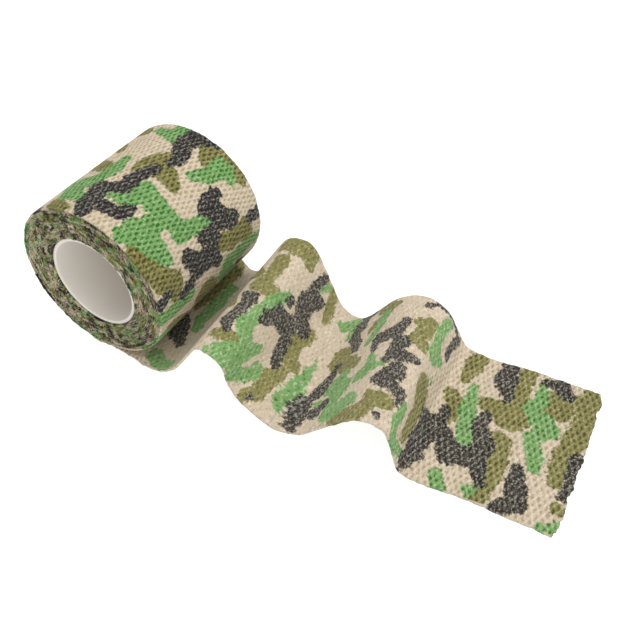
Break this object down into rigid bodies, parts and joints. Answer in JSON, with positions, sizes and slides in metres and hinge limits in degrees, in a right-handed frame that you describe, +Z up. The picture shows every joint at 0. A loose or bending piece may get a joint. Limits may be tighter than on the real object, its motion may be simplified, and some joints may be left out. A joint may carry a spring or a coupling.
{
  "type": "self-adherent wrap tape roll",
  "caption": "Roll of camouflage crepe wrap tape on a plastic core, with a length of tape pulled out in two waves.",
  "frame": {"origin": "centre of the core's bore, mid-width of the tape, on the roll's axis", "axes": "+Y along the roll's axis, +X the way the tape leaves the roll along the floor, +Z up"},
  "size_m": [0.1652, 0.05, 0.0506],
  "materials": {
    "tape_print": "crepe non-woven, matt, camouflage print",
    "tape_back": "crepe non-woven, matt, paler show-through of the print",
    "elastic": "bare elastic thread",
    "core_plastic": "smooth satin moulded plastic"
  },
  "bodies": {
    "roll": {"wound_tape": "tape_print"},
    "core": {"core_tube": "core_plastic"},
    "lead": {"lead_print_ply": "tape_print", "lead_elastic_threads": "elastic", "lead_back_ply": "tape_back"},
    "rise_1": {"rise_1_print_ply": "tape_print", "rise_1_elastic_threads": "elastic", "rise_1_back_ply": "tape_back"},
    "fall_1": {"fall_1_print_ply": "tape_print", "fall_1_elastic_threads": "elastic", "fall_1_back_ply": "tape_back"},
    "valley": {"valley_print_ply": "tape_print", "valley_elastic_threads": "elastic", "valley_back_ply": "tape_back"},
    "rise_2": {"rise_2_print_ply": "tape_print", "rise_2_elastic_threads": "elastic", "rise_2_back_ply": "tape_back"},
    "fall_2": {"fall_2_print_ply": "tape_print", "fall_2_elastic_threads": "elastic", "fall_2_back_ply": "tape_back"},
    "runout": {"runout_print_ply": "tape_print", "runout_elastic_threads": "elastic", "runout_back_ply": "tape_back"},
    "free_end": {"free_end_print_ply": "tape_print", "free_end_elastic_threads": "elastic", "free_end_back_ply": "tape_back"}
  },
  "joints": [
    {"name": "core_slide", "type": "slide", "parent": "roll", "child": "core", "axis": [0, -1, 0], "range_m": [-0.045, 0.045]},
    {"name": "peel", "type": "hinge", "parent": "roll", "child": "lead", "pos_m": [0.009, 0, -0.025], "axis": [0, -1, 0], "range_deg": [0, 15]},
    {"name": "wave_1", "type": "hinge", "parent": "lead", "child": "rise_1", "pos_m": [0.0175, 0, -0.025], "axis": [0, 1, 0], "range_deg": [-8, 20]},
    {"name": "wave_1_crest", "type": "hinge", "parent": "rise_1", "child": "fall_1", "pos_m": [0.03918, 0, -0.0072], "axis": [0, -1, 0], "range_deg": [-17.2, 42.6]},
    {"name": "wave_1_toe", "type": "hinge", "parent": "fall_1", "child": "valley", "pos_m": [0.05804, 0, -0.025], "axis": [0, 1, 0], "range_deg": [-9.2, 22.6]},
    {"name": "wave_2", "type": "hinge", "parent": "valley", "child": "rise_2", "pos_m": [0.06244, 0, -0.025], "axis": [0, 1, 0], "range_deg": [-5, 15]},
    {"name": "wave_2_crest", "type": "hinge", "parent": "rise_2", "child": "fall_2", "pos_m": [0.08806, 0, -0.0109], "axis": [0, -1, 0], "range_deg": [-13.8, 41]},
    {"name": "wave_2_toe", "type": "hinge", "parent": "fall_2", "child": "runout", "pos_m": [0.10149, 0, -0.025], "axis": [0, 1, 0], "range_deg": [-8.8, 26]},
    {"name": "free_end_lift", "type": "hinge", "parent": "runout", "child": "free_end", "pos_m": [0.12048, 0, -0.025], "axis": [0, -1, 0], "range_deg": [0, 90]}
  ],
  "couplings": [
    {"joint": "wave_1_crest", "follows": "wave_1", "ratio": 2.12},
    {"joint": "wave_1_toe", "follows": "wave_1", "ratio": 1.12},
    {"joint": "wave_2_crest", "follows": "wave_2", "ratio": 2.72},
    {"joint": "wave_2_toe", "follows": "wave_2", "ratio": 1.72}
  ]
}
